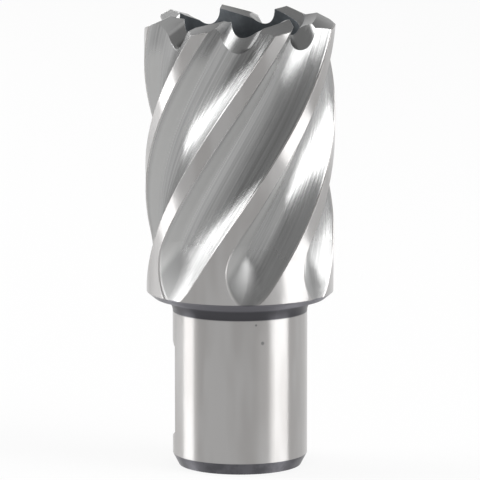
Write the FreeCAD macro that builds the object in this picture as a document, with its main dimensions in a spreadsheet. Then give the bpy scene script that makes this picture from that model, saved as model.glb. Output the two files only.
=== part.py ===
"""Annular cutter, the hollow drill of a magnetic-base drilling machine, as one turned and milled piece.

It stands on the end of its shank with its teeth up. The origin is the centre of the shank's
end face, +Z runs along the axis to the teeth, and -Y is the front.
Polar angles are seen from the teeth, counter-clockwise from +X, and the cutter turns that way
when it cuts, so each tooth leads towards the higher angle.
"""
import FreeCAD, Part
import math
import os
import Sketcher

NODE = "annular_cutter"

SIZES = [
    ("shank_diameter", 19.05, "diameter of the plain shank"),
    ("shank_length", 22.0, "end face to the start of the neck"),
    ("shank_chamfer_width", 0.87, "end chamfer, radially"),
    ("shank_chamfer_height", 1.65, "end chamfer, along the axis"),
    ("underside_width", 0.6, "flat ring under the body, between the neck's fillet and the chamfer"),
    ("body_chamfer_width", 1.1, "lower chamfer of the body, radially"),
    ("body_chamfer_height", 0.9, "lower chamfer of the body, along the axis"),
    ("body_taper", 0.3, "how much smaller the body is above its chamfer than at the teeth, radially"),
    ("cutting_diameter", 27.0, "across the outer corners of the teeth"),
    ("overall_length", 64.4, "end face to the tips of the teeth"),
    ("wall_thickness", 4.5, "width of the ring that the teeth cut, round the hollow for the core"),
    ("core_depth", 32.0, "tips of the teeth to the floor of the hollow"),
    ("core_corner_chamfer", 1.0, "slope between the wall and the floor of the hollow"),
    ("pin_hole_diameter", 6.4, "hole through the shank for a centring pin"),
    ("pin_hole_chamfer", 0.5, "chamfer at the mouth of that hole"),
    ("drive_flat_depth", 1.2, "depth of a drive flat below the shank's surface"),
    ("drive_flat_length", 14.6, "length of a drive flat along the axis, at the shank's surface"),
    ("drive_flat_height", 3.7, "end face to the lower end of a drive flat"),
    ("drive_flat_end_angle", 45.0, "slope of a drive flat's ends"),
    ("drive_flat_angle", 76.0, "polar angle of the first drive flat"),
    ("drive_flat_spacing", 90.0, "angle between the two drive flats"),
    ("tooth_count", 7.0, "teeth, and as many flutes"),
    ("tooth_angle", -58.9, "polar angle of the first tooth's outer corner"),
    ("flute_lead", 124.0, "height in which a flute turns once round"),
    ("land_angle", 8.6, "width of a land as an angle"),
    ("web_thickness", 1.85, "wall left between the flutes and the hollow"),
    ("flute_wall_angle", 38.0, "slope of the leading wall, from the radius"),
    ("flute_corner_radius", 3.0, "round between the leading wall and the flank"),
    ("flank_angle", 23.3, "width of the hollow flank as an angle, from the land to the web"),
    ("runout_height", 9.0, "underside of the body to the start of the flutes' run-out"),
    ("runout_rise", 1.0, "how far the flute's bottom rises along the run-out"),
    ("runout_closing", 0.69, "share of the flute's width that closes along the run-out"),
    ("runout_wall_opening", 35.0, "how much further the wall leans over along the run-out"),
    ("runout_corner_growth", 2.5, "how much larger the corner's round gets along the run-out"),
    ("ridge_inset", 2.7, "outer corner inwards to the ridge, where a tooth's two bevels meet"),
    ("ridge_lead_angle", 11.0, "outer corner forward to the tip, where the ridge starts"),
    ("outer_bevel_angle", 21.0, "fall of a tooth from its ridge outwards"),
    ("inner_bevel_angle", 18.0, "fall of a tooth from its ridge inwards"),
    ("relief_angle", 14.5, "fall of the ridge behind the tip"),
    ("relief_start_angle", 21.0, "outer corner forward to where the relief cut ends"),
    ("gullet_radius", 2.35, "round bottom of the slot through the web in front of each tooth"),
    ("gullet_depth", 2.2, "tips of the teeth to the slot's bottom, at the hollow"),
    ("gullet_angle", 31.8, "outer corner forward to the slot's middle, at the hollow"),
    ("gullet_turn", -14.0, "how far the slot turns away from the radius"),
    ("gullet_tilt", 39.0, "how steeply the slot climbs inwards"),
    ("gullet_flare", 25.0, "how far the slot's far wall leans away from the tooth"),
]

RUNOUT_STEPS = 5
FULL_TURN = 360
RIGHT_ANGLE = 90
CLEAR = 1.0
ROUNDING = 1e-6
START, END, CENTRE = range(1, 4)
SKETCH_ORIGIN = (-1, 1)


class Size:
    """A size as its number and as the formula over the sheet's cells that gives it."""

    def __init__(self, number, formula):
        self.number = number
        self.formula = formula

    def __add__(self, other):
        return joined(self, "+", other, self.number + number_of(other))

    def __sub__(self, other):
        return joined(self, "-", other, self.number - number_of(other))

    def __mul__(self, other):
        return joined(self, "*", other, self.number * number_of(other))

    def __truediv__(self, other):
        return joined(self, "/", other, self.number / number_of(other))


def number_of(value):
    return value.number if isinstance(value, Size) else value


def formula_of(value):
    return value.formula if isinstance(value, Size) else repr(value)


def constant(number):
    return Size(number, repr(number))


def joined(first, sign, second, number):
    return Size(number, f"({formula_of(first)} {sign} {formula_of(second)})")


def sine(angle):
    return Size(math.sin(math.radians(number_of(angle))), f"sin({formula_of(angle)})")


def cosine(angle):
    return Size(math.cos(math.radians(number_of(angle))), f"cos({formula_of(angle)})")


def tangent(angle):
    return Size(math.tan(math.radians(number_of(angle))), f"tan({formula_of(angle)})")


def write_sheet(doc):
    """Fills the sheet of driving sizes and gives them back by name."""
    sheet = doc.addObject("Spreadsheet::Sheet", "Sizes")
    sizes = {}
    for row, (name, number, meaning) in enumerate(SIZES, start=1):
        sheet.set(f"A{row}", meaning)
        sheet.set(f"B{row}", str(number))
        sheet.setAlias(f"B{row}", name)
        sizes[name] = Size(number, f"Sizes.{name}")
    doc.recompute()
    return sizes


def origin_feature(body, role):
    return next(feature for feature in body.Origin.OriginFeatures if feature.Role == role)


def new_sketch(body, name, plane, place=None):
    """A sketch on one of the body's origin planes, moved and turned by an offset formula."""
    sketch = body.newObject("Sketcher::SketchObject", name)
    sketch.AttachmentSupport = [(origin_feature(body, plane), "")]
    sketch.MapMode = "FlatFace"
    if place:
        sketch.setExpression("AttachmentOffset", place)
    return sketch


def place_formula(point, yaw=0, pitch=0, roll=0):
    """The offset formula of a sketch from its origin point and its three turns."""
    base = "; ".join(formula_of(value) for value in point)
    turns = "; ".join(formula_of(value) for value in (yaw, pitch, roll))
    return f"placement(vector({base}); rotation({turns}))"


def vector(point):
    return FreeCAD.Vector(number_of(point[0]), number_of(point[1]), 0)


def bind(sketch, value, name, *constraint):
    """Adds a named dimension to a sketch and ties it to its formula."""
    index = sketch.addConstraint(Sketcher.Constraint(*constraint))
    sketch.renameConstraint(index, name)
    sketch.setExpression(f"Constraints.{name}", formula_of(value))


def fix_point(sketch, curve, end, point, name):
    """Ties one end of a curve, or its centre, to a point of the sketch."""
    x, y = point
    bind(sketch, x, name + "_x", "DistanceX", *SKETCH_ORIGIN, curve, end, number_of(x))
    bind(sketch, y, name + "_y", "DistanceY", *SKETCH_ORIGIN, curve, end, number_of(y))


def arc_between(start, end, centre):
    """The arc round a centre from start to end, or from end to start where that is the
    counter-clockwise way, and whether it was turned round so."""
    first, last = start - centre, end - centre
    turned = first.cross(last).z < -ROUNDING
    if turned:
        start, end = end, start
    circle = Part.Circle(centre, FreeCAD.Vector(0, 0, 1), first.Length)
    arc = Part.ArcOfCircle(circle, circle.parameter(start), circle.parameter(end))
    return arc, turned


def draw_outline(sketch, corners, centres=()):
    """A closed outline through named corners, with every corner tied to its formula.

    A stretch is straight, or an arc where centres has the centre for the name of the corner
    that the stretch starts from. A half circle runs counter-clockwise.
    """
    centres = dict(centres)
    names = list(corners)
    ends = []
    for name, following in zip(names, names[1:] + names[:1]):
        start, end = vector(corners[name]), vector(corners[following])
        if name in centres:
            arc, turned = arc_between(start, end, vector(centres[name]))
            sketch.addGeometry(arc)
            ends.append((END, START) if turned else (START, END))
        else:
            sketch.addGeometry(Part.LineSegment(start, end))
            ends.append((START, END))
    for index, name in enumerate(names):
        following = (index + 1) % len(names)
        sketch.addConstraint(Sketcher.Constraint(
            "Coincident", index, ends[index][1], following, ends[following][0]))
        fix_point(sketch, index, ends[index][0], corners[name], name)
        if name in centres:
            height = centres[name][1]
            bind(sketch, height, name + "_centre", "DistanceY", *SKETCH_ORIGIN, index, CENTRE,
                 number_of(height))


def set_sizes(feature, **formulas):
    """Ties a feature's own sizes to their formulas."""
    for name, value in formulas.items():
        feature.setExpression(name, formula_of(value))


def cutting_radius(sizes):
    return sizes["cutting_diameter"] / 2


def core_radius(sizes):
    return cutting_radius(sizes) - sizes["wall_thickness"]


def ridge_radius(sizes):
    return cutting_radius(sizes) - sizes["ridge_inset"]


def base_radius(sizes):
    """The body's radius above its lower chamfer."""
    return cutting_radius(sizes) - sizes["body_taper"]


def neck_radius(sizes):
    """The hollow fillet that fills the step from the shank to the underside's flat ring."""
    ring = base_radius(sizes) - sizes["body_chamfer_width"] - sizes["underside_width"]
    return ring - sizes["shank_diameter"] / 2


def underside_height(sizes):
    return sizes["shank_length"] + neck_radius(sizes)


def turned_blank(body, sizes):
    """The outside as it is turned: shank, neck, body and a plain top, drawn in the plane of
    the first tooth's outer corner."""
    shank = sizes["shank_diameter"] / 2
    neck = neck_radius(sizes)
    neck_top = underside_height(sizes)
    base = base_radius(sizes)
    edge = cutting_radius(sizes)
    corners = {
        "axis_bottom": (0, 0),
        "end_face": (shank - sizes["shank_chamfer_width"], 0),
        "end_chamfer": (shank, sizes["shank_chamfer_height"]),
        "neck_start": (shank, sizes["shank_length"]),
        "neck_end": (shank + neck, neck_top),
        "underside": (base - sizes["body_chamfer_width"], neck_top),
        "body_chamfer": (base, neck_top + sizes["body_chamfer_height"]),
        "tip_level": (edge, sizes["overall_length"]),
        "top": (edge, sizes["overall_length"] + CLEAR),
        "axis_top": (0, sizes["overall_length"] + CLEAR),
    }
    centres = {"neck_start": (shank + neck, sizes["shank_length"])}
    place = place_formula((0, 0, 0), pitch=sizes["tooth_angle"])
    sketch = new_sketch(body, "blank_outline", "XZ_Plane", place)
    draw_outline(sketch, corners, centres)
    blank = body.newObject("PartDesign::Revolution", "turned_blank")
    blank.Profile = sketch
    blank.ReferenceAxis = (origin_feature(body, "Z_Axis"), [""])
    blank.Angle = FULL_TURN
    return blank


def core_hollow(body, sizes):
    """The hollow that swallows the core, open at the teeth, with a sloped corner at its floor."""
    wall = core_radius(sizes)
    corner = sizes["core_corner_chamfer"]
    top = sizes["overall_length"] + CLEAR * 2
    floor = sizes["overall_length"] - sizes["core_depth"]
    corners = {
        "axis_top": (0, top),
        "mouth": (wall, top),
        "wall_end": (wall, floor + corner),
        "floor_start": (wall - corner, floor),
        "axis_floor": (0, floor),
    }
    sketch = new_sketch(body, "core_outline", "XZ_Plane")
    draw_outline(sketch, corners)
    hollow = body.newObject("PartDesign::Groove", "core_hollow")
    hollow.Profile = sketch
    hollow.ReferenceAxis = (origin_feature(body, "Z_Axis"), [""])
    hollow.Angle = FULL_TURN
    return hollow


def pin_hole(body, sizes):
    """The hole for a centring pin, from the shank's end into the hollow, with its chamfer."""
    radius = sizes["pin_hole_diameter"] / 2
    chamfer = sizes["pin_hole_chamfer"]
    top = sizes["overall_length"] - sizes["core_depth"] + CLEAR
    corners = {
        "axis_bottom": (0, 0),
        "mouth": (radius + chamfer, 0),
        "wall_start": (radius, chamfer),
        "wall_end": (radius, top),
        "axis_top": (0, top),
    }
    sketch = new_sketch(body, "pin_hole_outline", "XZ_Plane")
    draw_outline(sketch, corners)
    hole = body.newObject("PartDesign::Groove", "pin_hole")
    hole.Profile = sketch
    hole.ReferenceAxis = (origin_feature(body, "Z_Axis"), [""])
    hole.Angle = FULL_TURN
    return hole


def drive_flats(body, sizes):
    """Two milled flats with sloping ends, which the holder's screws press on."""
    surface = sizes["shank_diameter"] / 2
    bottom = surface - sizes["drive_flat_depth"]
    slope = tangent(sizes["drive_flat_end_angle"])
    low = sizes["drive_flat_height"]
    high = low + sizes["drive_flat_length"]
    inner_run = sizes["drive_flat_depth"] / slope
    outer_run = constant(CLEAR) / slope
    corners = {
        "floor_low": (bottom, low + inner_run),
        "mouth_low": (surface + CLEAR, low - outer_run),
        "mouth_high": (surface + CLEAR, high + outer_run),
        "floor_high": (bottom, high - inner_run),
    }
    place = place_formula((0, 0, 0), pitch=sizes["drive_flat_angle"])
    sketch = new_sketch(body, "drive_flat_outline", "XZ_Plane", place)
    draw_outline(sketch, corners)
    flat = body.newObject("PartDesign::Pocket", "drive_flat")
    flat.Profile = sketch
    flat.Midplane = True
    set_sizes(flat, Length=sizes["shank_diameter"])
    flats = body.newObject("PartDesign::PolarPattern", "drive_flats")
    flats.Originals = [flat]
    flats.Axis = (origin_feature(body, "Z_Axis"), [""])
    flats.Occurrences = 2
    set_sizes(flats, Angle=sizes["drive_flat_spacing"])
    body.Tip = flats
    return flats


def relief_per_degree(sizes):
    """How much a tooth's ridge falls with each degree behind its tip."""
    return ridge_radius(sizes) * tangent(sizes["relief_angle"]) * 2 * constant(math.pi) / FULL_TURN


def corner_height(sizes):
    """The height of a tooth's outer corner, below its tip by the bevel and the relief."""
    bevel_fall = sizes["ridge_inset"] * tangent(sizes["outer_bevel_angle"])
    relief_fall = relief_per_degree(sizes) * sizes["ridge_lead_angle"]
    return sizes["overall_length"] - bevel_fall - relief_fall


def flute_turn(sizes, height):
    """The polar angle that the first tooth's cutting edge has reached at a height."""
    climb = height - corner_height(sizes)
    return sizes["tooth_angle"] + climb * FULL_TURN / sizes["flute_lead"]


def polar(radius, angle):
    turn = math.radians(angle)
    return FreeCAD.Vector(radius * math.cos(turn), radius * math.sin(turn), 0)


def corner_opposite(side, near, far):
    """The angle of a triangle between its sides near and far, from the side opposite."""
    return math.degrees(math.acos((near ** 2 + far ** 2 - side ** 2) / (2 * near * far)))


def flute_curves(cut, beyond, web, flank, corner, edge_angle, wall_angle, flute_angle):
    """The flank, corner, leading wall and outer closing arc of a flute's section, as numbers.

    The flank is hollow, touches the web's circle and meets the next land at the flute's
    angle. The wall leans back from the cutting edge, and the corner rounds the two together.
    """
    reach = web + flank
    centre_angle = flute_angle - corner_opposite(flank, reach, cut)
    flank_centre = polar(reach, centre_angle)
    flank_end = polar(beyond, centre_angle + corner_opposite(flank, reach, beyond))
    edge = polar(cut, edge_angle)
    inward = polar(-1, edge_angle - wall_angle)
    outside = polar(1, edge_angle - wall_angle + RIGHT_ANGLE)
    gap = edge + outside * corner - flank_centre
    along = gap.dot(inward)
    depth = -along + math.sqrt(along ** 2 - gap.Length ** 2 + (flank - corner) ** 2)
    corner_centre = edge + outside * corner + inward * depth
    wall_start = corner_centre - outside * corner
    flank_start = flank_centre + (corner_centre - flank_centre) * (flank / (flank - corner))
    lean = edge.dot(inward)
    wall_end = edge - inward * (lean + math.sqrt(lean ** 2 - cut ** 2 + beyond ** 2))
    axis = polar(0, 0)
    return (
        arc_between(flank_start, flank_end, flank_centre),
        arc_between(wall_start, flank_start, corner_centre),
        Part.LineSegment(wall_start, wall_end),
        arc_between(wall_end, flank_end, axis),
    )


def flank_radius(sizes):
    """The hollow of a flank that starts at the web and meets the land after its angle."""
    web = core_radius(sizes) + sizes["web_thickness"]
    cut = cutting_radius(sizes)
    across = cut * cosine(sizes["flank_angle"])
    return (web * web + cut * cut - web * across * 2) / ((across - web) * 2)


def flute_section(body, sizes, name, share):
    """The flute's section square to the axis, at a share of the run-out from its start."""
    eased = share ** 2
    flute_angle = constant(FULL_TURN) / sizes["tooth_count"] - sizes["land_angle"]
    edge_angle = flute_angle * sizes["runout_closing"] * eased
    wall_angle = sizes["flute_wall_angle"] + sizes["runout_wall_opening"] * share
    corner_radius = sizes["flute_corner_radius"] + sizes["runout_corner_growth"] * share
    web = core_radius(sizes) + sizes["web_thickness"] + sizes["runout_rise"] * eased
    cut = cutting_radius(sizes)
    beyond = cut + CLEAR
    underside = underside_height(sizes)
    height = underside + sizes["runout_height"] - (sizes["runout_height"] + CLEAR / 2) * share
    place = place_formula((0, 0, height), yaw=flute_turn(sizes, height))
    sketch = new_sketch(body, name, "XY_Plane", place)

    given = (cut, beyond, web, flank_radius(sizes), corner_radius, edge_angle, wall_angle,
             flute_angle)
    flank_arc, corner_arc, wall_line, outer_arc = flute_curves(*map(number_of, given))
    flank, corner, wall, outer = (
        sketch.addGeometry(curve) for curve in (flank_arc[0], corner_arc[0], wall_line,
                                                outer_arc[0]))
    flank_start, flank_end = (END, START) if flank_arc[1] else (START, END)
    corner_start, corner_end = (END, START) if corner_arc[1] else (START, END)
    axis = FreeCAD.Vector(0, 0, 0)
    up = FreeCAD.Vector(0, 0, 1)
    web_circle = sketch.addGeometry(Part.Circle(axis, up, number_of(web)), True)
    edge = sketch.addGeometry(Part.Point(polar(cut.number, edge_angle.number)), True)
    land = sketch.addGeometry(Part.Point(polar(cut.number, flute_angle.number)), True)

    for constraint in (
        ("Coincident", outer, CENTRE, *SKETCH_ORIGIN),
        ("Coincident", web_circle, CENTRE, *SKETCH_ORIGIN),
        ("Coincident", wall, END, outer, START),
        ("Coincident", flank, flank_end, outer, END),
        ("Tangent", flank, flank_start, corner, corner_end),
        ("Tangent", corner, corner_start, wall, START),
        ("Tangent", flank, web_circle),
        ("PointOnObject", edge, START, wall),
        ("PointOnObject", land, START, flank),
    ):
        sketch.addConstraint(Sketcher.Constraint(*constraint))
    for curve, label, radius in (
        (outer, "beyond_radius", beyond),
        (web_circle, "web_radius", web),
        (flank, "flank_radius", flank_radius(sizes)),
        (corner, "corner_radius", corner_radius),
    ):
        bind(sketch, radius, label, "Radius", curve, number_of(radius))
    fix_point(sketch, edge, START, (cut * cosine(edge_angle), cut * sine(edge_angle)), "edge")
    fix_point(sketch, land, START, (cut * cosine(flute_angle), cut * sine(flute_angle)), "land")
    lean = edge_angle - wall_angle
    bind(sketch, lean, "wall_direction", "Angle", wall, math.radians(number_of(lean)))
    return sketch, height


def flute(body, sizes):
    """One flute's helix, from the start of its run-out up past the teeth."""
    section, height = flute_section(body, sizes, "flute_section", 0)
    cut = body.newObject("PartDesign::SubtractiveHelix", "flute")
    cut.Profile = section
    cut.ReferenceAxis = (origin_feature(body, "Z_Axis"), [""])
    cut.Mode = "pitch-height-angle"
    set_sizes(cut, Pitch=sizes["flute_lead"],
              Height=sizes["overall_length"] + CLEAR * 2 - height)
    return cut


def flute_runout(body, sizes):
    """The flute's lower end, where the milling wheel left it: it closes from the leading
    side, gets shallower and rounder, and runs out through the underside of the body."""
    sections = [
        flute_section(body, sizes, f"runout_section_{step}", step / RUNOUT_STEPS)[0]
        for step in range(RUNOUT_STEPS + 1)
    ]
    cut = body.newObject("PartDesign::SubtractiveLoft", "flute_runout")
    cut.Profile = sections[0]
    cut.Sections = sections[1:]
    return cut


def gullet(body, sizes):
    """The round-bottomed slot through the web in front of a tooth, climbing inwards.

    Its wall on the tooth's side is the cutting face. The far wall leans away from the tooth.
    """
    radius = sizes["gullet_radius"]
    flare = sizes["gullet_flare"]
    wall = core_radius(sizes)
    top = sizes["gullet_depth"] + sizes["wall_thickness"] + CLEAR
    right_start = radius * cosine(flare)
    right_height = radius - radius * sine(flare)
    corners = {
        "left_top": (constant(0) - radius, top),
        "left_bottom": (constant(0) - radius, radius),
        "right_bottom": (right_start, right_height),
        "right_top": (right_start + (top - right_height) * tangent(flare), top),
    }
    middle = sizes["tooth_angle"] + sizes["gullet_angle"]
    bottom = (wall * cosine(middle), wall * sine(middle),
              sizes["overall_length"] - sizes["gullet_depth"])
    outward = sizes["tooth_angle"] + sizes["gullet_turn"]
    place = place_formula(bottom, yaw=outward + RIGHT_ANGLE,
                          roll=sizes["gullet_tilt"] + RIGHT_ANGLE)
    sketch = new_sketch(body, "gullet_outline", "XY_Plane", place)
    draw_outline(sketch, corners, {"left_bottom": (0, radius)})
    cut = body.newObject("PartDesign::Pocket", "gullet")
    cut.Profile = sketch
    cut.Midplane = True
    set_sizes(cut, Length=sizes["cutting_diameter"])
    return cut


def tooth_crown(body, sizes):
    """The two bevels on top of a tooth, falling behind its tip, cut over one tooth's share of
    the circle, from the slot behind the tooth to the slot in front of it."""
    wall = core_radius(sizes)
    ridge = ridge_radius(sizes)
    outside = cutting_radius(sizes)
    inner_slope = tangent(sizes["inner_bevel_angle"])
    outer_slope = tangent(sizes["outer_bevel_angle"])
    pitch_angle = constant(FULL_TURN) / sizes["tooth_count"]
    heel_angle = sizes["relief_start_angle"] - pitch_angle
    apex = sizes["overall_length"] - relief_per_degree(sizes) * (
        sizes["ridge_lead_angle"] - heel_angle)
    top = sizes["overall_length"] + CLEAR * 2
    corners = {
        "inner": (wall - CLEAR, apex - (ridge - wall + CLEAR) * inner_slope),
        "apex": (ridge, apex),
        "outer": (outside + CLEAR, apex - (outside + CLEAR - ridge) * outer_slope),
        "outer_top": (outside + CLEAR, top),
        "inner_top": (wall - CLEAR, top),
    }
    place = place_formula((0, 0, 0), pitch=sizes["tooth_angle"] + heel_angle)
    sketch = new_sketch(body, "crown_outline", "XZ_Plane", place)
    draw_outline(sketch, corners)
    cut = body.newObject("PartDesign::SubtractiveHelix", "tooth_crown")
    cut.Profile = sketch
    cut.ReferenceAxis = (origin_feature(body, "Z_Axis"), [""])
    cut.Mode = "pitch-height-angle"
    lead = relief_per_degree(sizes) * FULL_TURN
    set_sizes(cut, Pitch=lead, Height=lead / sizes["tooth_count"])
    return cut


def teeth(body, sizes, cuts):
    """Repeats the cuts of one flute and tooth round the axis."""
    pattern = body.newObject("PartDesign::PolarPattern", "teeth")
    pattern.Originals = cuts
    pattern.Axis = (origin_feature(body, "Z_Axis"), [""])
    pattern.Angle = FULL_TURN
    set_sizes(pattern, Occurrences=sizes["tooth_count"])
    body.Tip = pattern
    return pattern


def check_model(doc, steps):
    """Stops on a failed object, or on a cut that took nothing away."""
    for item in doc.Objects:
        if "Invalid" in item.State or "Error" in item.State:
            raise RuntimeError(f"{item.Name} did not build")
    for before, after in zip(steps, steps[1:]):
        if after.Shape.Volume > before.Shape.Volume - ROUNDING:
            raise RuntimeError(f"{after.Name} takes nothing away")


def main():
    doc = FreeCAD.newDocument("cutter")
    sizes = write_sheet(doc)
    body = doc.addObject("PartDesign::Body", NODE)
    body.Label = NODE
    steps = [
        turned_blank(body, sizes),
        core_hollow(body, sizes),
        pin_hole(body, sizes),
        drive_flats(body, sizes),
    ]
    cuts = [step(body, sizes) for step in (flute, flute_runout, gullet, tooth_crown)]
    steps += cuts
    steps.append(teeth(body, sizes, cuts))
    doc.recompute()
    check_model(doc, steps)
    shape = body.Shape
    if shape.isNull() or not shape.isValid() or len(shape.Solids) != 1:
        raise RuntimeError(f"{NODE} is not one sound solid")
    os.makedirs("parts", exist_ok=True)
    shape.exportStep(f"parts/{body.Label}.step")


main()
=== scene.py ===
"""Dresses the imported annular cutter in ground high-speed steel and sets up a plain pale studio."""
import math

import bpy
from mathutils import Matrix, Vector

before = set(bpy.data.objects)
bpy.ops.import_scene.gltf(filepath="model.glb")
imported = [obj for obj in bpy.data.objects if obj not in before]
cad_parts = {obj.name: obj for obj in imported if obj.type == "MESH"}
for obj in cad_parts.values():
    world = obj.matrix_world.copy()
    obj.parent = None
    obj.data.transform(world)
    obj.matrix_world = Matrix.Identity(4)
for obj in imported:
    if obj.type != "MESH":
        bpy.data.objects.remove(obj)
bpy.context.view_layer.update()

bl_info = {
    "name": "Annular cutter finish",
    "version": (1, 0, 0),
    "blender": (4, 5, 0),
    "location": "3D View > Sidebar > Cutter",
    "description": "Gives the annular cutter its ground steel, and builds the studio and camera",
    "category": "Object",
}

MM = 0.001
CUTTER = "annular_cutter"

# Heights above the shank's end face, in millimetres.
CHAMFER_TOP = 1.65
NECK_BOTTOM = 22.0
# Where the neck's painted shade below gives way to a painted reflection above.
NECK_PAINTED_SHADE_TOP = 23.4
NECK_TOP = 24.825
FLUTES_BOTTOM = 24.65
BODY_BOTTOM = 24.9
RUNOUT_MIDDLE = 29.0
HOLLOW_FLOOR = 32.275
RUNOUT_TOP = 36.0
WALL_FULL = 57.0
WALL_GONE = 61.0
BODY_TOP = 64.4

# Distances from the cutter's axis, in millimetres.
END_FACE_HOLE = 3.5
BORE_ROUND = 4.1
HOLLOW_ROUND = 9.035
BODY_ROUND = 13.2
TEETH_ROUND = 13.5

# The flutes: their number, their lead in millimetres and their turn in each metre of height.
FLUTES = 7
FLUTE_LEAD = 124.0
FLUTE_TURN = 2 * math.pi / (FLUTE_LEAD * MM)
# A face this far inside the body's round, in millimetres, is in a flute and not on a land.
LAND_DEPTH = 0.2
# Where the leading wall begins and ends, as shares of the way from one flute to the next.
WALL_BEGINS = (0.31, 0.38)
WALL_ENDS = (0.56, 0.44)
# A face cuts across the helix when this much of its normal points along it.
CUTS_ACROSS = (0.22, 0.4)

# Noises: scale in each metre, detail and roughness.
BROAD_STREAKS = (300.0, 3.0, 0.6)
FINE_STREAKS = (3200.0, 2.0, 0.6)
PATCHES = (230.0, 2.0, 0.5)
STAINS = (420.0, 4.0, 0.6)
# The share of the fine streaks among both, and the streaks' level where none are seen.
FINE_SHARE = 0.3
PLAIN_STREAKS = 0.52
# How much of their height the streaks' and the patches' coordinates keep: less draws them out.
STREAK_STRETCH = 0.014
PATCH_STRETCH = 0.22
# The part of a noise that a change of colour or roughness spans.
SHADE_RANGE = (0.38, 0.64)
PATCH_RANGE = (0.4, 0.62)
ROUGHNESS_RANGE = (0.3, 0.7)

# Shares of a finish's colour: in its streaks or stains, and the neck's painted shade below and
# painted reflection above.
STREAK_SHARE = 0.66
STAIN_SHARE = 1.4
HOLLOW_STAIN_SHARE = 1.35
LOWER_NECK_PAINTED_SHADE = 0.78
UPPER_NECK_PAINTED_REFLECTION = 1.6
# What the streaks add to the flutes' roughness at both ends of their range.
STREAK_ROUGHNESS = (-0.04, 0.05)

# Two dark specks on the shank: x, y, z and radius in millimetres.
SPECKS = ((2.25, -9.255, 21.38, 0.17), (3.17, -8.98, 18.79, 0.26))

# Softboxes: name, azimuth and elevation in degrees, width and height in metres, power in watts.
SOFTBOXES = (
    ("softbox_left", -99, 17, (0.42, 0.62), 4.8),
    ("softbox_far_left", -128, 22, (0.5, 0.46), 2.2),
    ("softbox_right", 73, 15, (0.58, 0.58), 5.9),
    ("softbox_upper_right", 57, 43, (0.44, 0.34), 1.5),
)
SOFTBOX_DISTANCE = 0.9

# The dark of the room: where it begins and where it is full, by how far a direction points up,
# back, and up again.
DARK_UPPER = (0.02, 0.3)
DARK_FRONT = (0.4, -0.3)
DARK_OVERHEAD = (0.4, 0.7)


class CutterFinish(bpy.types.PropertyGroup):
    """Colours and textures of the steel."""

    ground_colour: bpy.props.FloatVectorProperty(
        name="Ground steel", description="Colour of the flutes and the teeth",
        default=(0.385, 0.386, 0.385), subtype="COLOR", min=0, max=1)
    # The leading walls' colour is painted light: the same ground steel made lighter, as a painted
    # reflection of the bright room.
    wall_painted_light_colour: bpy.props.FloatVectorProperty(
        name="Leading walls", description="Colour of the steep side of each flute",
        default=(0.51, 0.51, 0.505), subtype="COLOR", min=0, max=1)
    shank_colour: bpy.props.FloatVectorProperty(
        name="Shank", description="Colour of the faces that are ground round the axis",
        default=(0.424, 0.417, 0.413), subtype="COLOR", min=0, max=1)
    patch_colour: bpy.props.FloatVectorProperty(
        name="Shank patches", description="Colour of the faint long patches on the same faces",
        default=(0.374, 0.364, 0.358), subtype="COLOR", min=0, max=1)
    dull_colour: bpy.props.FloatVectorProperty(
        name="Dull steel", description="Colour where the steel was turned and hardened only",
        default=(0.105, 0.104, 0.114), subtype="COLOR", min=0, max=1)
    hollow_colour: bpy.props.FloatVectorProperty(
        name="Hollow", description="Colour of the hollow for the core and of the bore",
        default=(0.095, 0.105, 0.114), subtype="COLOR", min=0, max=1)
    speck_colour: bpy.props.FloatVectorProperty(
        name="Specks", description="Colour of the two small specks on the shank",
        default=(0.2, 0.2, 0.2), subtype="COLOR", min=0, max=1)
    flute_roughness: bpy.props.FloatProperty(
        name="Flute roughness", description="Roughness of the flutes and the teeth",
        default=0.195, subtype="FACTOR", min=0, max=1)
    runout_haze: bpy.props.FloatProperty(
        name="Run-out haze", description="How much rougher the flutes get in their run-out",
        default=0.12, subtype="FACTOR", min=0, max=1)
    wall_roughness: bpy.props.FloatProperty(
        name="Wall roughness", description="Roughness of the steep side of each flute",
        default=0.38, subtype="FACTOR", min=0, max=1)
    shank_roughness: bpy.props.FloatProperty(
        name="Shank roughness", description="Roughness of the shank and the lands",
        default=0.29, subtype="FACTOR", min=0, max=1)
    dull_roughness: bpy.props.FloatProperty(
        name="Dull roughness", description="Roughness of the neck, the chamfers and the hollow",
        default=0.42, subtype="FACTOR", min=0, max=1)
    hollow_metal: bpy.props.FloatProperty(
        name="Hollow metal", description="How metallic the dull film in the hollow looks",
        default=0.55, subtype="FACTOR", min=0, max=1)
    streak_depth: bpy.props.FloatProperty(
        name="Streak depth", description="Depth of the fine grinding streaks in the flutes",
        default=0.09 * MM, unit="LENGTH", min=0)
    edge_width: bpy.props.FloatProperty(
        name="Edge wear", description="Width of the tiny rounding along edges",
        default=0.1 * MM, unit="LENGTH", min=0)


class CutterStudio(bpy.types.PropertyGroup):
    """Sizes of the studio and the camera."""

    camera_distance: bpy.props.FloatProperty(
        name="Camera distance", description="Camera in front of the cutter's axis",
        default=710 * MM, unit="LENGTH", min=0)
    camera_height: bpy.props.FloatProperty(
        name="Camera height", description="Camera above the floor",
        default=144.5 * MM, unit="LENGTH", min=0)
    aim_height: bpy.props.FloatProperty(
        name="Aim height", description="Height of the point that the camera looks at",
        default=32 * MM, unit="LENGTH", min=0)
    focal_length: bpy.props.FloatProperty(
        name="Focal length", description="Focal length of the camera, in millimetres of lens",
        default=382.0, min=1)
    floor_width: bpy.props.FloatProperty(
        name="Floor width", description="Side of the square floor",
        default=6.0, unit="LENGTH", min=0)
    floor_white: bpy.props.FloatProperty(
        name="Floor white", description="Share of plain white in what is seen of the floor",
        default=0.85, subtype="FACTOR", min=0, max=1)
    dark_level: bpy.props.FloatProperty(
        name="Dark level", description="Brightness of the room in front and overhead",
        default=0.42, subtype="FACTOR", min=0, max=1)


def scaled(colour, share):
    return tuple(value * share for value in colour)


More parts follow.
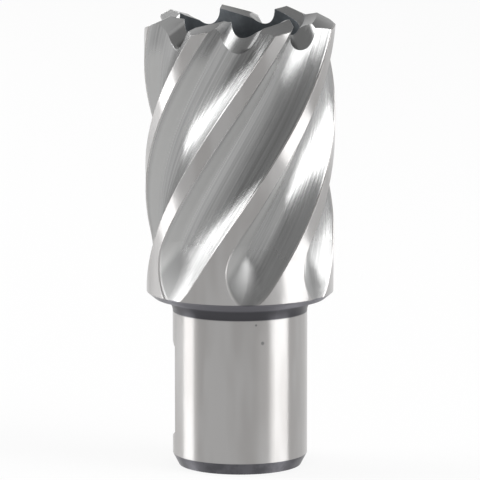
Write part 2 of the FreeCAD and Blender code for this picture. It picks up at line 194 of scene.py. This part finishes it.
class Nodes:
    """Adds shader nodes to a tree and links them in one line each."""

    def __init__(self, tree):
        self.tree = tree
        self.tree.nodes.clear()

    def add(self, kind, inputs=None, **attributes):
        """A node with its attributes set, and each input linked or given its value."""
        node = self.tree.nodes.new(kind)
        for name, value in attributes.items():
            setattr(node, name, value)
        for key, value in (inputs or {}).items():
            if isinstance(value, bpy.types.NodeSocket):
                self.tree.links.new(value, node.inputs[key])
            else:
                node.inputs[key].default_value = value
        return node

    def math(self, operation, first, second=0.0):
        return self.add("ShaderNodeMath", {0: first, 1: second}, operation=operation).outputs[0]

    def times(self, first, second):
        return self.math("MULTIPLY", first, second)

    def vector_math(self, operation, first, second):
        return self.add("ShaderNodeVectorMath", {0: first, 1: second},
                        operation=operation).outputs

    def change(self, value, low, high, start, end, shape="LINEAR"):
        """A number that goes from start to end while value goes from low to high."""
        return self.add("ShaderNodeMapRange",
                        {"Value": value, "From Min": low, "From Max": high,
                         "To Min": start, "To Max": end},
                        interpolation_type=shape).outputs["Result"]

    def ramp(self, value, low, high, start=0.0, end=1.0):
        """The same change, made soft at both of its ends."""
        return self.change(value, low, high, start, end, shape="SMOOTHSTEP")

    def above(self, value, limit, blur):
        """One where value is over limit, else zero, with a soft change of twice blur between."""
        return self.ramp(value, limit - blur, limit + blur)

    def below(self, value, limit, blur):
        """One where value is under limit, else zero, with a soft change of twice blur between."""
        return self.ramp(value, limit + blur, limit - blur)

    def blend(self, factor, first, second):
        """The number first where factor is zero, and second where it is one."""
        return self.add("ShaderNodeMix", {0: factor, 2: first, 3: second},
                        data_type="FLOAT").outputs[0]

    def blend_colour(self, factor, first, second):
        """The same for colours, each a socket or three numbers."""
        first, second = (colour if isinstance(colour, bpy.types.NodeSocket) else (*colour, 1.0)
                         for colour in (first, second))
        return self.add("ShaderNodeMix", {0: factor, 6: first, 7: second},
                        data_type="RGBA").outputs[2]

    def shade(self, noise, colour, share):
        """A colour that goes to a share of itself where a noise is high."""
        return self.blend_colour(self.ramp(noise, *SHADE_RANGE), colour, scaled(colour, share))

    def noise(self, vector, scale, detail, roughness):
        return self.add("ShaderNodeTexNoise",
                        {"Vector": vector, "Scale": scale, "Detail": detail,
                         "Roughness": roughness}).outputs["Fac"]

    def stretched(self, vector, share):
        """The same coordinates with their height times a share."""
        return self.add("ShaderNodeMapping",
                        {"Vector": vector, "Scale": (1.0, 1.0, share)}).outputs[0]


class SteelPattern:
    """Where the steel is ground, dull or streaked, as sockets of the material's nodes.

    Height is above the shank's end face and reach is the distance from the axis, both in
    millimetres. Each mark is one on its faces and zero elsewhere.
    """

    def __init__(self, nodes):
        self.place = nodes.add("ShaderNodeTexCoord").outputs["Object"]
        self.x, self.y, self.z = nodes.add("ShaderNodeSeparateXYZ", {0: self.place}).outputs
        self.height = nodes.math("DIVIDE", self.z, MM)
        self.reach = nodes.math("DIVIDE", nodes.math("SQRT", nodes.math(
            "ADD", nodes.times(self.x, self.x), nodes.times(self.y, self.y))), MM)
        self.normal = nodes.add("ShaderNodeNewGeometry").outputs["Normal"]
        self.helix = nodes.add("ShaderNodeCombineXYZ",
                               {0: nodes.times(self.y, -FLUTE_TURN),
                                1: nodes.times(self.x, FLUTE_TURN), 2: 1.0}).outputs[0]
        self.mark_dull_faces(nodes)
        self.mark_flutes(nodes)
        self.streaks = self.helical_streaks(nodes)
        self.patches = nodes.noise(nodes.stretched(self.place, PATCH_STRETCH), *PATCHES)
        self.stains = nodes.noise(self.place, *STAINS)

    def mark_dull_faces(self, nodes):
        """The neck and the end chamfer, and apart from them the bore and the hollow."""
        self.neck = nodes.times(nodes.above(self.height, NECK_BOTTOM, 0.1),
                                nodes.below(self.height, NECK_TOP, 0.075))
        end_chamfer = nodes.times(nodes.below(self.height, CHAMFER_TOP, 0.05),
                                  nodes.above(self.reach, END_FACE_HOLE, 0.5))
        self.dull = nodes.math("MAXIMUM", self.neck, end_chamfer)
        self.hollow = nodes.math(
            "MAXIMUM", nodes.below(self.reach, BORE_ROUND, 0.1),
            nodes.times(nodes.above(self.height, HOLLOW_FLOOR, 0.075),
                        nodes.below(self.reach, HOLLOW_ROUND, 0.015)))

    def mark_flutes(self, nodes):
        """All of the body inside its tapering round, and in it each flute's leading wall.

        The wall is found by the angle of a place once the helix's turn is taken back.
        """
        body_round = nodes.change(self.height, BODY_BOTTOM, BODY_TOP, BODY_ROUND, TEETH_ROUND)
        land = nodes.above(nodes.math("SUBTRACT", self.reach, body_round), -LAND_DEPTH, 0.1)
        self.fluted = nodes.times(nodes.above(self.height, FLUTES_BOTTOM, 0.05),
                                  nodes.math("SUBTRACT", 1.0, land))
        self.unwound = nodes.add(
            "ShaderNodeVectorRotate",
            {"Vector": self.place, "Angle": nodes.times(self.z, -FLUTE_TURN)},
            rotation_type="Z_AXIS").outputs[0]
        across = nodes.add("ShaderNodeSeparateXYZ", {0: self.unwound}).outputs
        angle = nodes.math("ARCTAN2", across[1], across[0])
        step = nodes.math("FRACT", nodes.times(angle, FLUTES / (2 * math.pi)))
        self.wall = nodes.times(
            nodes.ramp(self.height, WALL_GONE, WALL_FULL),
            nodes.times(nodes.ramp(step, *WALL_BEGINS), nodes.ramp(step, *WALL_ENDS)))

    def helical_streaks(self, nodes):
        """A noise drawn out along the helix, and plain on faces that cut across the helix."""
        along_flute = nodes.stretched(self.unwound, STREAK_STRETCH)
        broad = nodes.noise(along_flute, *BROAD_STREAKS)
        fine = nodes.noise(along_flute, *FINE_STREAKS)
        drawn_out = nodes.math("ADD", nodes.times(broad, 1.0 - FINE_SHARE),
                               nodes.times(fine, FINE_SHARE))
        facing = nodes.vector_math("DOT_PRODUCT", self.normal, self.helix)["Value"]
        cut_across = nodes.ramp(nodes.math("ABSOLUTE", facing), *CUTS_ACROSS)
        return nodes.blend(cut_across, drawn_out, PLAIN_STREAKS)


def speck_mark(nodes, place):
    """One at the small dark specks that the photo shows on the shank, else zero."""
    mark = 0.0
    for x, y, z, radius in SPECKS:
        away = nodes.vector_math("DISTANCE", place, Vector((x, y, z)) * MM)["Value"]
        spot = nodes.ramp(away, 1.3 * radius * MM, 0.5 * radius * MM)
        mark = nodes.math("MAXIMUM", mark, spot)
    return mark


def steel_colour(nodes, pattern, look):
    """Ground faces, then the dull ones, then the hollow and the specks over them."""
    lands = nodes.blend_colour(nodes.ramp(pattern.patches, *PATCH_RANGE),
                               look.shank_colour, look.patch_colour)
    # On the leading walls the flutes' steel takes a lighter colour, a painted reflection.
    flutes = nodes.blend_colour(
        pattern.wall, nodes.shade(pattern.streaks, look.ground_colour, STREAK_SHARE),
        look.wall_painted_light_colour)
    ground = nodes.blend_colour(pattern.fluted, lands, flutes)
    # The neck's two tones are painted light: darker below as painted shade under the body, lighter
    # above as a painted reflection of the floor.
    neck = nodes.blend_colour(nodes.above(pattern.height, NECK_PAINTED_SHADE_TOP, 0.15),
                              scaled(look.dull_colour, LOWER_NECK_PAINTED_SHADE),
                              scaled(look.dull_colour, UPPER_NECK_PAINTED_REFLECTION))
    dull = nodes.blend_colour(
        pattern.neck, nodes.shade(pattern.stains, look.dull_colour, STAIN_SHARE), neck)
    outside = nodes.blend_colour(pattern.dull, ground, dull)
    inside = nodes.shade(pattern.stains, look.hollow_colour, HOLLOW_STAIN_SHARE)
    clean = nodes.blend_colour(pattern.hollow, outside, inside)
    return nodes.blend_colour(speck_mark(nodes, pattern.place), clean, look.speck_colour)


def steel_roughness(nodes, pattern, look):
    """Each finish's own roughness, and in the flutes a little more or less by their streaks."""
    haze = nodes.ramp(pattern.height, RUNOUT_TOP, RUNOUT_MIDDLE, 0.0, look.runout_haze)
    smoother, rougher = (look.flute_roughness + extra for extra in STREAK_ROUGHNESS)
    streaked = nodes.change(pattern.streaks, *ROUGHNESS_RANGE, smoother, rougher)
    flutes = nodes.blend(pattern.wall, nodes.math("ADD", haze, streaked), look.wall_roughness)
    ground = nodes.blend(pattern.fluted, look.shank_roughness, flutes)
    return nodes.blend(nodes.math("MAXIMUM", pattern.dull, pattern.hollow), ground,
                       look.dull_roughness)


def steel_normal(nodes, pattern, look):
    """The faces' own normal with worn edges, and with the fine streaks in the flutes."""
    soft_edge = nodes.add("ShaderNodeBevel", {"Radius": look.edge_width}, samples=4)
    return nodes.add("ShaderNodeBump",
                     {"Strength": 0.8, "Distance": look.streak_depth,
                      "Height": nodes.times(pattern.streaks, pattern.fluted),
                      "Normal": soft_edge.outputs[0]}).outputs[0]


def blur_direction(nodes, pattern):
    """The way in which reflections blur: along the axis, or in the flutes across the helix.

    The axis leans a little, so that it never lies along the normal of a level face.
    """
    across_helix = nodes.vector_math("CROSS_PRODUCT", pattern.normal, pattern.helix)[0]
    axis = nodes.add("ShaderNodeCombineXYZ", {0: 0.02, 1: 0.01, 2: 1.0}).outputs[0]
    return nodes.add("ShaderNodeMix", {0: pattern.fluted, 4: axis, 5: across_helix},
                     data_type="VECTOR").outputs[1]


def ground_steel():
    """Ground steel whose fine lines follow the grinding wheel, duller on the turned faces.

    The shank and the lands are ground round the axis, and the flutes along their helix.
    Reflections blur across the lines of either lay, so the shank shows sharp upright bands.
    """
    look = bpy.context.scene.cutter_finish
    material = bpy.data.materials.new("ground_steel_finish")
    material.use_nodes = True
    nodes = Nodes(material.node_tree)
    pattern = SteelPattern(nodes)
    shader = nodes.add("ShaderNodeBsdfPrincipled",
                       {"Base Color": steel_colour(nodes, pattern, look),
                        "Metallic": nodes.ramp(pattern.hollow, 0.0, 1.0, 1.0, look.hollow_metal),
                        "Roughness": steel_roughness(nodes, pattern, look),
                        "Anisotropic": 1.0, "Tangent": blur_direction(nodes, pattern),
                        "Normal": steel_normal(nodes, pattern, look)})
    nodes.add("ShaderNodeOutputMaterial", {"Surface": shader.outputs[0]})
    return material


def floor_material(white_share):
    """A pale matt floor that the camera and reflections see as white, with soft shadows."""
    material = bpy.data.materials.new("pale_floor")
    material.use_nodes = True
    nodes = Nodes(material.node_tree)
    paint = nodes.add("ShaderNodeBsdfDiffuse", {"Color": (0.9, 0.9, 0.9, 1)})
    glow = nodes.add("ShaderNodeEmission", {"Color": (1, 1, 1, 1), "Strength": 1.0})
    path = nodes.add("ShaderNodeLightPath")
    seen = nodes.math("MAXIMUM", path.outputs["Is Camera Ray"], nodes.math(
        "MAXIMUM", path.outputs["Is Glossy Ray"], path.outputs["Is Transmission Ray"]))
    mixed = nodes.add("ShaderNodeMixShader", {0: nodes.times(seen, white_share),
                                              1: paint.outputs[0], 2: glow.outputs[0]})
    nodes.add("ShaderNodeOutputMaterial", {"Surface": mixed.outputs[0]})
    return material


def add_floor(scene, sizes):
    """A square floor under the cutter's end face."""
    half = sizes.floor_width / 2
    mesh = bpy.data.meshes.new("studio_floor")
    mesh.from_pydata([(-half, -half, 0), (half, -half, 0), (half, half, 0), (-half, half, 0)],
                     [], [(0, 1, 2, 3)])
    mesh.materials.append(floor_material(sizes.floor_white))
    floor = bpy.data.objects.new("studio_floor", mesh)
    scene.collection.objects.link(floor)


def add_softbox(scene, target, name, azimuth, elevation, size, power):
    """A rectangular softbox on a sphere round the target, facing it.

    Azimuth 0 is the camera's side, and it grows towards the right of the picture.
    """
    data = bpy.data.lights.new(name, "AREA")
    data.shape = "RECTANGLE"
    data.size, data.size_y = size
    data.energy = power
    lamp = bpy.data.objects.new(name, data)
    scene.collection.objects.link(lamp)
    turn, rise = math.radians(azimuth), math.radians(elevation)
    offset = SOFTBOX_DISTANCE * Vector((math.sin(turn) * math.cos(rise),
                                        -math.cos(turn) * math.cos(rise), math.sin(rise)))
    lamp.location = target + offset
    lamp.rotation_euler = (-offset).to_track_quat("-Z", "Y").to_euler()


def add_world(scene, sizes):
    """A white room that is darker in front, behind the camera, and overhead.

    Only reflections and light show the dark sides: the camera sees white all round.
    """
    world = bpy.data.worlds.new("studio_world")
    scene.world = world
    world.use_nodes = True
    nodes = Nodes(world.node_tree)
    direction = nodes.add("ShaderNodeTexCoord").outputs["Generated"]
    back_or_front, up = nodes.add("ShaderNodeSeparateXYZ", {0: direction}).outputs[1:]
    upper = nodes.ramp(up, *DARK_UPPER)
    front = nodes.ramp(back_or_front, *DARK_FRONT)
    overhead = nodes.ramp(up, *DARK_OVERHEAD)
    dark = nodes.times(upper, nodes.math("MAXIMUM", front, overhead))
    level = nodes.ramp(dark, 0.0, 1.0, 1.0, sizes.dark_level)
    path = nodes.add("ShaderNodeLightPath")
    seen = nodes.blend(path.outputs["Is Camera Ray"], level, 1.0)
    glow = nodes.add("ShaderNodeBackground", {"Color": (1, 1, 1, 1), "Strength": seen})
    nodes.add("ShaderNodeOutputWorld", {"Surface": glow.outputs[0]})


def add_camera(scene, target, sizes):
    """The photo's camera: a long lens in front of the cutter that looks down a little."""
    data = bpy.data.cameras.new("photo_camera")
    data.sensor_width = 36.0
    data.lens = sizes.focal_length
    data.clip_end = 20.0
    camera = bpy.data.objects.new("photo_camera", data)
    scene.collection.objects.link(camera)
    camera.location = (0, -sizes.camera_distance, sizes.camera_height)
    camera.rotation_euler = (target - camera.location).to_track_quat("-Z", "Y").to_euler()
    scene.camera = camera


class CUTTER_OT_dress(bpy.types.Operator):
    """Give the cutter its ground steel"""

    bl_idname = "cutter.dress"
    bl_label = "Dress cutter"

    def execute(self, context):
        steel = ground_steel()
        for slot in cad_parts[CUTTER].material_slots:
            slot.material = steel
        return {"FINISHED"}


class CUTTER_OT_stage(bpy.types.Operator):
    """Build the floor, the softboxes, the pale world and the camera"""

    bl_idname = "cutter.stage"
    bl_label = "Build studio"

    def execute(self, context):
        scene = context.scene
        sizes = scene.cutter_studio
        target = Vector((0, 0, sizes.aim_height))
        add_floor(scene, sizes)
        for softbox in SOFTBOXES:
            add_softbox(scene, target, *softbox)
        add_world(scene, sizes)
        add_camera(scene, target, sizes)
        scene.view_settings.view_transform = "Standard"
        return {"FINISHED"}


class CUTTER_PT_panel(bpy.types.Panel):
    """Lists the steps that dress and stage the cutter"""

    bl_idname = "CUTTER_PT_panel"
    bl_label = "Annular cutter"
    bl_space_type = "VIEW_3D"
    bl_region_type = "UI"
    bl_category = "Cutter"

    def draw(self, context):
        for group in (context.scene.cutter_finish, context.scene.cutter_studio):
            for name in group.bl_rna.properties.keys():
                if name not in ("rna_type", "name"):
                    self.layout.prop(group, name)
        self.layout.operator(CUTTER_OT_dress.bl_idname)
        self.layout.operator(CUTTER_OT_stage.bl_idname)


CLASSES = (CutterFinish, CutterStudio, CUTTER_OT_dress, CUTTER_OT_stage, CUTTER_PT_panel)


def register():
    for item in CLASSES:
        bpy.utils.register_class(item)
    bpy.types.Scene.cutter_finish = bpy.props.PointerProperty(type=CutterFinish)
    bpy.types.Scene.cutter_studio = bpy.props.PointerProperty(type=CutterStudio)


def unregister():
    del bpy.types.Scene.cutter_studio
    del bpy.types.Scene.cutter_finish
    for item in reversed(CLASSES):
        bpy.utils.unregister_class(item)


def main():
    register()
    bpy.ops.cutter.dress()
    bpy.ops.cutter.stage()


if __name__ == "__main__":
    main()
